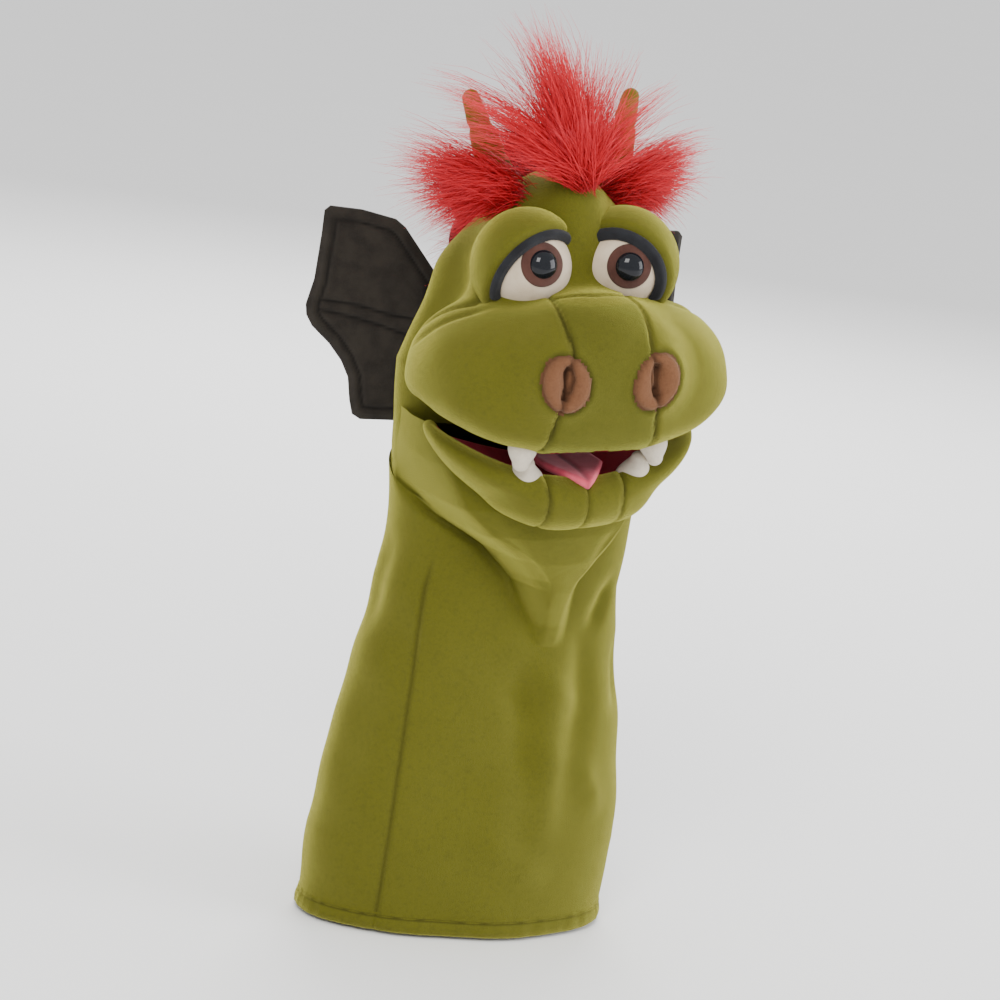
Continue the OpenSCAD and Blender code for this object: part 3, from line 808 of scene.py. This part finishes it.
def revolved(name, profile, side, material, count=64):
    """A turned piece on the eye: profile is (radius, how far along the gaze) from the middle outwards."""
    frame_axes = gaze_frame(side)
    points = []
    for r, out in profile:
        for k in range(count):
            a = 2 * math.pi * k / count
            points.append(EYE + frame_axes @ np.array([r * math.cos(a), -out, r * math.sin(a)]))
    faces = grid_faces(len(profile), count)[:, ::side]
    return mesh_piece(name, lean(on_side(np.array(points), side)), faces, material)


def lid_level(p, side):
    """How far a point lies behind the plane of a lid's rim."""
    return (p - EYE) @ LID_NORMAL[side] - LID_SET[side]


def lid_shape(side):
    def shape(p):
        q = p - EYE
        away, level = norm(q * (1, 1, 0.97), axis=-1), lid_level(p, side)
        body = cut(away - 31.0, -(norm(q, axis=-1) - EYE_R - 0.6), 1.5)
        body = cut(body, 0.6 - level, 4.5)
        body = cut(body, 6.0 - p[..., 0], 6.0)
        return cut(body, q[..., 1] - 22, 5.0)
    return shape


def lash_shape(side):
    def shape(p):
        q = p - EYE
        strip = np.abs(norm(q, axis=-1) - EYE_R - 2.9) - 2.3
        strip = cut(strip, np.abs(lid_level(p, side) + 0.8) - 1.9, 1.2)
        strip = cut(strip, -17 - q[..., 2], 2.0)
        return cut(strip, 6.5 - p[..., 0], 2.0)
    return shape


def small_piece(name, shape, lo, hi, step, side, material, painted_shading=None, put=lean):
    points, quads = surface(shape, lo, hi, step)
    piece = mesh_piece(name, put(on_side(points, side)), quads[:, ::side], material)
    if painted_shading:
        set_painted_shading(piece, painted_shading(points))
    return piece


def glossy(name, colour):
    m = Nodes(name)
    m.link(m.mix(m.noise(40.0, 1.0), colour, tuple(0.8 * c for c in colour)), m.shader.inputs["Base Color"])
    m.set(Roughness=0.07, Specular_IOR_Level=0.28)
    return m.material


PUPIL = glossy("pupil_black", (0.006, 0.007, 0.010))


def build_eyes():
    for side, word in SIDES:
        ball = [(0.4 + EYE_R * math.sin(a), EYE_R * math.cos(a)) for a in np.linspace(0.0, 1.9, 40)]
        white = revolved("eyeball_" + word, ball, side, EYE_FELT, 96)
        place(white, "head", "eye_felt", "eye_white_" + word)
        lens = [(r, math.sqrt((EYE_R + 0.9) ** 2 - r * r)) for r in np.linspace(0.3, 11.9, 20)]
        lens += [(12.2, lens[-1][1] - 0.8), (11.9, lens[-1][1] - 2.0)]
        iris = revolved("iris_disc_" + word, lens, side, IRIS, 72)
        place(iris, "head", "iris_brown", "iris_" + word)
        rise = EYE_R + 1.0
        turns = np.linspace(0, math.pi / 2, 16)
        button = [(0.2 + 7.6 * math.sin(a), rise - 1.6 + 4.6 * math.cos(a)) for a in turns]
        button += [(7.8, rise - 2.6)]
        pupil = revolved("pupil_button_" + word, button, side, PUPIL, 64)
        place(pupil, "head", "pupil_black", "pupil_" + word, "eye_washer_" + word)
        step = 1.0
        # the lid gets painted shade along its rim, where it meets the eye
        lid = small_piece("eyelid_pad_" + word, lid_shape(side), (-6, -108, 370), (64, -44, 442), step,
                          side, GREEN, lambda p: 0.3 * smoothstep(3, 0, lid_level(p, side)))
        place(lid, "head", "plush_green", "eyelid_" + word)
        lash = small_piece("lash_" + word, lash_shape(side), (0, -106, 370), (64, -44, 440), 0.8 * step,
                           side, LASH)
        place(lash, "head", "lash_felt", "lash_strip_" + word)


# ---- teeth and tongue ----

def tooth(p, foot, tip, wide):
    """A soft blunt cone from foot to tip."""
    foot, tip = np.array(foot, dtype=float), np.array(tip, dtype=float)
    axis = tip - foot
    t = np.clip(((p - foot) @ axis) / (axis @ axis), 0, 1)
    radius = wide * (1 - 0.42 * t ** 1.6)
    return norm(p - foot - t[:, None] * axis, axis=-1) - radius


def lower_tooth(p):
    one = tooth(p, (32, -97, 299), (33, -99.5, 310.5), 8.2)
    return join(one, ellipsoid(p, (32, -96.5, 301), (10.5, 5.5, 6.5)), 4)


def upper_tooth(p):
    return tooth(p, (38, -106, 311), (39, -107, 303.5), 8.0)


def tongue_shape(p):
    y = p[..., 1]
    wide = 17.5 * np.clip((112 + y) / 26.0, 0, 1) ** 0.75
    rise = 296.5 + 5.5 * smoothstep(-50, -104, y)
    rise = rise - 0.8 * bell(p[..., 0], 2.2) + 0.008 * p[..., 0] ** 2
    flat = np.abs(p[..., 2] - rise) - 2.6
    edge = np.maximum(np.abs(p[..., 0]) - wide, y + 46)
    return cut(flat, edge, 3.0)


def build_mouth():
    step = 0.9
    for side, word in SIDES:
        low = small_piece("lower_tooth_" + word, lower_tooth, (16, -118, 286), (50, -84, 318), step, side,
                          TOOTH, put=gape)
        high = small_piece("upper_tooth_" + word, upper_tooth, (26, -120, 292), (54, -94, 322), step, side,
                           TOOTH)
        place(low, "jaw", "tooth_felt", *(["lower_teeth"] if side > 0 else []))
        place(high, "head", "tooth_felt", *(["upper_teeth"] if side > 0 else []))
    # the tongue gets painted shade along the groove down its middle
    tongue = small_piece("tongue_felt_piece", tongue_shape, (-28, -118, 288), (28, -42, 312), step, 1, TONGUE,
                         lambda p: 0.5 * bell(p[:, 0], 1.6), put=gape)
    place(tongue, "tongue", "tongue_felt", "tongue")


# ---- horns, wings and crest ----

def horn_shape(p):
    foot, tip = np.array([30.0, -38.0, 432.0]), np.array([47.0, -21.0, 487.0])
    axis = tip - foot
    t = np.clip(((p - foot) @ axis) / (axis @ axis), 0, 1)
    radius = 12.5 * (1 - t) + 5.0 * t
    q = p - foot - t[:, None] * axis
    q = q * np.array([1, 1.45, 1])
    ring = 0.9 * (bell(t - 0.42, 0.035) + bell(t - 0.74, 0.035))
    return norm(q, axis=-1) - radius + ring


WING_ROOT = np.array([44.0, 40.0, 288.0])
WING_SWEEP = math.radians(18)
WING_EDGE = [(8, -4), (2, 20), (0, 50), (0, 79), (24, 107), (30, 111), (50, 114), (68, 114), (71, 111),
             (71, 97), (72, 71), (75, 56), (74, 50), (70, 44), (59, 35), (51, 26), (46, 17), (43.5, 4),
             (41, -4), (36, -6.5)]
WING_LINES = [[(67, 60), (45, 59), (26, 56), (8, 55)], [(67, 54), (48, 52), (30, 49), (8, 44)]]


def wing_piece(side, word):
    """Two felts quilted over thin wadding, standing out from the back of the neck."""
    edge = np.array(WING_EDGE, dtype=float)
    step = 1.3
    grid_x, grid_z = np.meshgrid(np.arange(-4, 96, step), np.arange(-8, 124, step), indexing="ij")
    flat = np.stack([grid_x.ravel(), grid_z.ravel()], axis=1)
    closed = np.vstack([edge, edge[:1]])
    inside = np.zeros(len(flat), dtype=bool)
    for (x0, z0), (x1, z1) in zip(closed[:-1], closed[1:]):
        if z0 != z1:
            crosses = (flat[:, 1] < z0) != (flat[:, 1] < z1)
            inside ^= crosses & (flat[:, 0] < (x1 - x0) * (flat[:, 1] - z0) / (z1 - z0) + x0)
    far, _ = near_path(flat, closed)
    depth = np.where(inside, far, -far).reshape(grid_x.shape)
    lines = np.minimum.reduce([near_path(flat, path)[0] for path in WING_LINES])
    lines = np.minimum(lines, np.abs(np.where(inside, far, 99) - 7.0)).reshape(grid_x.shape)
    # the outermost cells are drawn to the edge, so that the outline is smooth
    gx, gz = np.gradient(depth, step)
    size = np.maximum(np.hypot(gx, gz), 1e-6)
    pull = np.where((depth < 0) & (depth > -1.5 * step), -depth, 0.0)
    px, pz = grid_x + pull * gx / size, grid_z + pull * gz / size
    shown = depth > -1.45 * step
    puff = 1.0 + 2.0 * smoothstep(0, 5, depth) - 1.5 * bell(lines, 1.3)
    puff = np.where(depth <= 0, 0.8, puff)
    bow = 3.0 * np.sin(px / 30.0) * np.sin(pz / 55.0)
    index = -np.ones(grid_x.shape, dtype=int)
    index[shown] = np.arange(shown.sum())
    count = shown.sum()
    front = np.stack([px[shown], (bow - 0.3 - puff)[shown], pz[shown]], axis=1)
    rear = np.stack([px[shown], (bow + 0.3 + puff)[shown], pz[shown]], axis=1)
    quads = np.stack([index[:-1, :-1], index[1:, :-1], index[1:, 1:], index[:-1, 1:]], axis=-1).reshape(-1, 4)
    quads = quads[(quads >= 0).all(axis=1)]
    sides = {}
    for q in quads:
        for k in range(4):
            pair = (q[k], q[(k + 1) % 4])
            if (pair[1], pair[0]) in sides:
                del sides[(pair[1], pair[0])]
            else:
                sides[pair] = True
    rim = [(v, u, u + count, v + count) for u, v in sides]
    points = np.vstack([front, rear])
    faces = [tuple(q) for q in quads] + [tuple(q[::-1] + count) for q in quads] + rim
    c, s = math.cos(WING_SWEEP), math.sin(WING_SWEEP)
    x, y, z = points.T
    turned = np.column_stack([x * c - y * s, x * s + y * c, z]) + WING_ROOT
    faces = [f[::side] for f in faces]
    piece = mesh_piece("wing_" + word, on_side(turned, side), faces, BLACK_FELT)
    # painted shade along the quilting lines, where the felt is drawn in
    quilt_shade = bell(lines, 0.8)[shown]
    set_painted_shading(piece, np.concatenate([quilt_shade, quilt_shade]) * 0.9)
    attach(piece, "wing_" + word)
    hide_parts("wing_front_felt_" + word, "wing_wadding_" + word, "wing_back_felt_" + word)


def wing_seam_shape(p):
    """The wing's felt runs on from its root to the seam in the cloth behind the head."""
    q = p - WING_ROOT
    u = q[..., 0] * math.cos(WING_SWEEP) + q[..., 1] * math.sin(WING_SWEEP)
    v = -q[..., 0] * math.sin(WING_SWEEP) + q[..., 1] * math.cos(WING_SWEEP)
    root = np.interp(q[..., 2], [-4, 20, 50, 79], [8, 2, 0, 0])
    felt_edge = np.maximum(u - root - 1.5, -24.0 - u)
    return cut(cut(np.abs(v) - 1.8, felt_edge, 1.5), np.abs(q[..., 2] - 39.0) - 39.0, 2.0)


CREST_FLOP = math.radians(30)


def crest_shape(p):
    """Three rounded lobes up the nape, turned to one side."""
    x = p[..., 0] * math.cos(CREST_FLOP) + p[..., 1] * math.sin(CREST_FLOP)
    y = -p[..., 0] * math.sin(CREST_FLOP) + p[..., 1] * math.cos(CREST_FLOP)
    disc = np.minimum.reduce([np.hypot(y - cy, p[..., 2] - cz) - r
                              for cy, cz, r in ((38, 392, 22), (30, 424, 19), (8, 446, 15))])
    return cut(np.abs(x - 2.0 * np.sin((p[..., 2] - 370) / 22.0)) - 2.2, disc, 2.0)


def build_extras():
    step = 1.1
    for side, word in SIDES:
        horn = small_piece("horn_cone_" + word, horn_shape, (10, -62, 416), (62, -4, 498), step, side, HORN)
        place(horn, "head", "horn_plush", "horn_" + word)
        wing_piece(side, word)
        seam = small_piece("wing_seam_" + word, wing_seam_shape, (14, 24, 284), (56, 50, 370), 0.7 * step,
                           side, BLACK_FELT, put=lambda p: p)
        place(seam, "neck", "felt_black")
    crest = small_piece("crest_lobes", crest_shape, (-46, -12, 366), (26, 66, 466), step, 1, BLACK_FELT)
    place(crest, "head", "felt_black", "nape_crest")


# ---- fur, as strands ----

def fur_material():
    m = Nodes("fur_red")
    along = m.attribute("painted_shading")
    streak = m.ramp(m.noise(700.0, 2.0, 0.6), 0.3, 0.7)
    colour = m.mix(streak, (0.52, 0.010, 0.018), (0.68, 0.022, 0.034))
    # painted shade at the roots, deep in the fur, and painted highlight on the tips
    colour = m.mix(m.ramp(along, 0.0, 0.30), (0.34, 0.005, 0.010), colour)
    colour = m.mix(m.ramp(along, 0.6, 1.0), colour, (0.78, 0.050, 0.070))
    m.link(colour, m.shader.inputs["Base Color"])
    m.set(Roughness=0.5, Specular_IOR_Level=0.2)
    return m.material


FUR = fur_material()

FORELOCK = [  # tip from the root, share of the strands, how far the strands scatter at the tip
    ((-30, 18, 84), 1.5, 0.07), ((-16, 18, 90), 1.2, 0.06), ((-2, 22, 76), 0.5, 0.09),
    ((13, 20, 72), 0.8, 0.08), ((34, 16, 68), 0.5, 0.06), ((58, 8, 50), 0.5, 0.05),
    ((44, -6, 26), 0.4, 0.10), ((-46, 16, 68), 0.4, 0.08), ((-84, 12, 58), 0.8, 0.045),
    ((-78, 4, 36), 0.7, 0.06), ((-44, -6, 16), 0.8, 0.12), ((-22, -6, 34), 1.6, 0.2),
    ((16, -6, 34), 1.1, 0.2), ((-4, -8, 42), 1.6, 0.2), ((20, -2, 26), 0.6, 0.16),
    ((-18, 20, 46), 0.8, 0.2)]
TUFT = [
    ((54, 15, 20), 1.2, 0.08), ((52, 14, 30), 0.5, 0.07), ((52, 12, 6), 1.0, 0.10),
    ((46, 12, -8), 0.9, 0.12), ((38, 8, -18), 0.8, 0.14), ((30, -4, 4), 1.4, 0.2),
    ((34, 4, 20), 1.2, 0.2), ((16, -8, 6), 0.8, 0.25), ((24, 0, -10), 1.0, 0.22)]
MANE = [
    ((-22, 30, 6), 1.0, 0.25), ((-30, 22, -12), 1.0, 0.25), ((-14, 34, -14), 1.0, 0.25),
    ((-26, 26, 20), 0.8, 0.25), ((-6, 34, 4), 0.8, 0.25), ((6, 28, 10), 0.6, 0.25)]
WISPS = 9           # each clump parts into this many wisps


def fur_piece(name, roots, clumps, count, side=1, strand=0.20, rooting=(6, 6, 2.5)):
    """Tapered three-sided strands, gathered in clumps, from roots near a line of points."""
    rings = 6
    share = np.array([c[1] for c in clumps])
    which = rng.choice(len(clumps), count, p=share / share.sum())
    tips = np.array([c[0] for c in clumps], dtype=float)[which]
    scatter = np.array([c[2] for c in clumps])[which]
    t = rng.random(count)
    line = np.array(roots, dtype=float)
    at = np.column_stack([np.interp(t, np.linspace(0, 1, len(line)), line[:, k]) for k in range(3)])
    root = at + rng.normal(size=(count, 3)) * np.array(rooting) * 0.6
    length = norm(tips, axis=1)
    reach = np.where(rng.random(count) < 0.55, rng.uniform(0.35, 0.75, count), rng.uniform(0.7, 1.0, count))
    stray = np.where(rng.random(count) < 0.10, 2.4, 0.8)
    wisp = rng.integers(0, WISPS, count)
    lock = rng.normal(size=(len(clumps), WISPS, 3)) * 0.055
    wander = rng.normal(size=(count, 3)) * (0.30 * scatter * stray)[:, None] + lock[which, wisp]
    tip = (tips + wander * length[:, None]) * reach[:, None]
    lift = np.array([0.0, -0.05, 0.10]) * length[:, None] * reach[:, None]
    bend = lift + rng.normal(size=(count, 3)) * 0.03 * length[:, None]
    sag = np.array([0, 0, -1.0]) * (0.05 * length * rng.random(count))[:, None]
    direction = tip / np.maximum(norm(tip, axis=1), 1e-6)[:, None]
    across = np.cross(direction, rng.normal(size=(count, 3)))
    across /= np.maximum(norm(across, axis=1), 1e-6)[:, None]
    other = np.cross(direction, across)
    points, along = [], []
    for i in range(rings):
        s = i / (rings - 1)
        spine = root + tip * s + bend * (4 * s * (1 - s)) + sag * s * s
        r = strand * (1 - s) ** 0.7 + 0.03
        for k in range(3):
            a = 2 * math.pi * k / 3
            points.append(spine + r * (math.cos(a) * across + math.sin(a) * other))
            along.append(np.full(count, s))
    points = np.stack(points, axis=1).reshape(-1, 3)
    along = np.stack(along, axis=1).reshape(-1)
    base = np.arange(count)[:, None] * (3 * rings)
    faces = (base[:, :, None] + grid_faces(rings, 3)[None, :, :]).reshape(-1, 4)
    piece = mesh_piece(name, lean(on_side(points, side)), faces[:, ::side], FUR)
    set_painted_shading(piece, along)
    return piece


def build_fur():
    dense = 1.0
    forelock = fur_piece("forelock_fur", [(0, -76, 447), (0, -66, 452), (0, -46, 450)], FORELOCK,
                         int(4200 * dense))
    place(forelock, "head", "fur_red", "forelock")
    for side, word in SIDES:
        tuft = fur_piece("tuft_fur_" + word, [(30, -50, 442), (38, -42, 438), (36, -30, 434)], TUFT,
                         int(3200 * dense), side, rooting=(9, 7, 8))
        place(tuft, "head", "fur_red", "fur_tuft_" + word)
    mane = fur_piece("mane_fur", [(-2, 4, 444), (-6, 18, 424), (-10, 26, 400), (-8, 26, 376)], MANE,
                     int(3000 * dense), rooting=(6, 6, 8))
    place(mane, "head", "fur_red", "nape_mane")


# ---- hidden piece ----

def finish_hidden():
    """Gives the solid that stays in the visual model the material of its slot."""
    pocket = bpy.data.objects["finger_pocket"]
    pocket.data.materials.clear()
    pocket.data.materials.append(POCKET)


build_picture()
build_head()
build_jaw()
sleeve_cloth, neck_cloth, throat_cloth = build_cloth()
build_eyes()
build_mouth()
build_extras()
build_fur()
finish_hidden()
